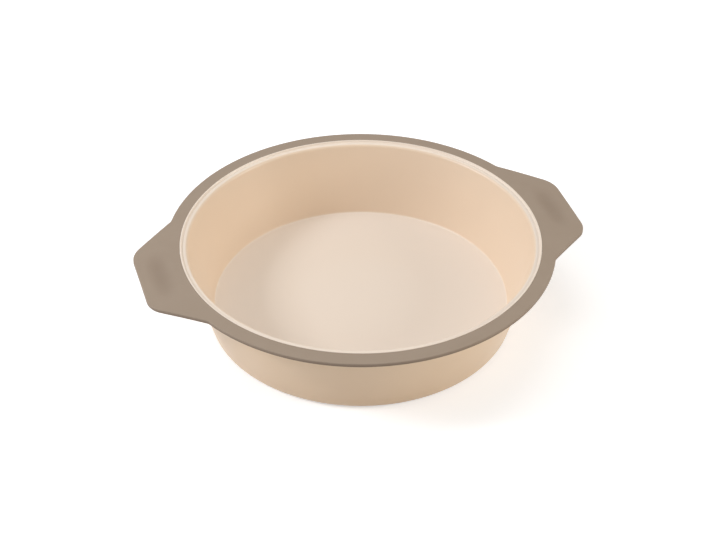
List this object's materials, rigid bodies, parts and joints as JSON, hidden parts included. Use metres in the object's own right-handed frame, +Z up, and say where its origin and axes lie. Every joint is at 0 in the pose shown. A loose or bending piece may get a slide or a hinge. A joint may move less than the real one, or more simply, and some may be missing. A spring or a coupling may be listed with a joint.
{
  "type": "round baking pan",
  "caption": "Round cake pan with a tapered wall, fine lip and sloping contrasting rim that widens into tab handles with shallow thumb recesses.",
  "frame": {"origin": "centre of the foot ring that the pan rests on", "axes": "+Z up through the mouth, +X along the line through both handles, +Y across it"},
  "size_m": [0.2836, 0.2466, 0.058],
  "materials": {
    "cream_silicone": "satin cream silicone",
    "taupe_silicone": "matte taupe silicone",
    "steel_wire": "drawn steel wire"
  },
  "bodies": {
    "root": {"pan_body": "cream_silicone", "rim_grip": "taupe_silicone", "frame_hoop": "steel_wire", "handle_loop_right": "steel_wire", "handle_loop_left": "steel_wire"}
  },
  "joints": []
}
